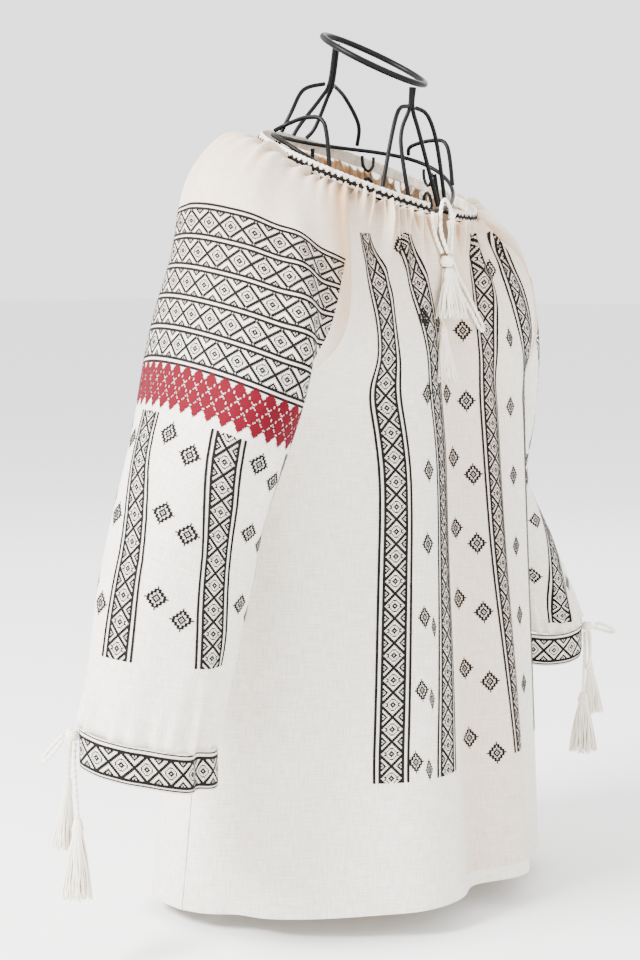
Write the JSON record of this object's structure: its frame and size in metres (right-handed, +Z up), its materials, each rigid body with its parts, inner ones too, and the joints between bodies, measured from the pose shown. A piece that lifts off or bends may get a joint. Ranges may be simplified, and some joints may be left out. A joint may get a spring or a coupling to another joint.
{
  "type": "romanian ie blouse on a wire dress form",
  "caption": "Peasant blouse with gathered neck, full sleeves, cross-stitch bands and tasselled ties, standing filled out on a black wire dress form.",
  "frame": {"origin": "on the floor, under the middle of the neckline, on the bar of the form's base", "axes": "+Z up, the wearer's front faces -Y, +X is the wearer's left"},
  "size_m": [0.6892, 0.3072, 0.7888],
  "materials": {
    "cotton_cloth": "thin slubby cotton, cream",
    "cotton_cord": "twisted cotton cord, cream",
    "iron_wire": "satin black paint"
  },
  "bodies": {
    "root": {"back_panel": "cotton_cloth", "front_panel": "cotton_cloth", "sleeve_left": "cotton_cloth", "sleeve_right": "cotton_cloth", "neckband": "cotton_cloth", "cuff_left": "cotton_cloth", "cuff_right": "cotton_cloth", "neck_cord_left": "cotton_cord", "neck_cord_right": "cotton_cord", "neck_cord_lower": "cotton_cord", "neck_loop_upper": "cotton_cord", "neck_loop_lower": "cotton_cord", "neck_knot": "cotton_cord", "neck_tassel_upper": "cotton_cord", "neck_tassel_lower": "cotton_cord", "cuff_cord_long_left": "cotton_cord", "cuff_cord_long_right": "cotton_cord", "cuff_cord_short_left": "cotton_cord", "cuff_cord_short_right": "cotton_cord", "cuff_loop_upper_left": "cotton_cord", "cuff_loop_upper_right": "cotton_cord", "cuff_loop_lower_left": "cotton_cord", "cuff_knot_left": "cotton_cord", "cuff_knot_right": "cotton_cord", "cuff_tassel_long_left": "cotton_cord", "cuff_tassel_long_right": "cotton_cord", "cuff_tassel_short_left": "cotton_cord", "cuff_tassel_short_right": "cotton_cord", "form_neck_ring": "iron_wire", "form_hoop_shoulder": "iron_wire", "form_hoop_bust": "iron_wire", "form_hoop_waist": "iron_wire", "form_hoop_hip": "iron_wire", "form_post_front_left": "iron_wire", "form_post_front_right": "iron_wire", "form_post_back_left": "iron_wire", "form_post_back_right": "iron_wire", "form_arch_back_left": "iron_wire", "form_arch_back_right": "iron_wire", "form_arch_front_left": "iron_wire", "form_arch_front_right": "iron_wire", "form_arch_shoulder_left": "iron_wire", "form_arch_shoulder_right": "iron_wire", "form_bow_back_left": "iron_wire", "form_bow_back_right": "iron_wire", "form_bow_side_left": "iron_wire", "form_bow_side_right": "iron_wire", "form_bend_back_left": "iron_wire", "form_bend_back_right": "iron_wire", "form_bend_side_left": "iron_wire", "form_bend_side_right": "iron_wire", "form_rib_front": "iron_wire", "form_rib_left": "iron_wire", "form_rib_back": "iron_wire", "form_rib_right": "iron_wire", "form_base": "iron_wire"}
  },
  "joints": []
}
